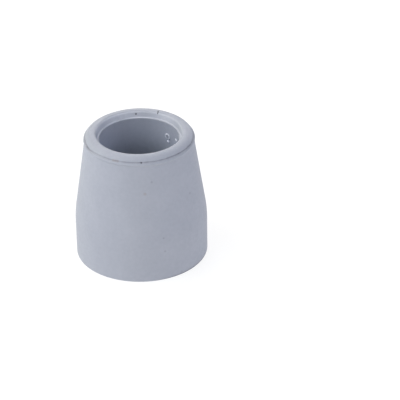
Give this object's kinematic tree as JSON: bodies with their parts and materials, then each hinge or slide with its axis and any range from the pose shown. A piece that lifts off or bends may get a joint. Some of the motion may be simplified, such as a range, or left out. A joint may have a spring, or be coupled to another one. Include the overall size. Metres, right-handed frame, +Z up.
{
  "type": "rubber cane tip",
  "caption": "Moulded rubber ferrule that presses over the end of a cane, crutch or walking frame leg, with a ring-grooved tread.",
  "frame": {"origin": "centre of the tread face, at the bottom of the bounding box", "axes": "+Z up the bore, out of its mouth; the torn gate pit lies off centre towards +Y"},
  "size_m": [0.047, 0.047, 0.0473],
  "materials": {
    "grey_rubber": "matte light grey moulded rubber with a faint blue cast, slightly mottled"
  },
  "bodies": {
    "root": {"rubber_tip": "grey_rubber"}
  },
  "joints": []
}
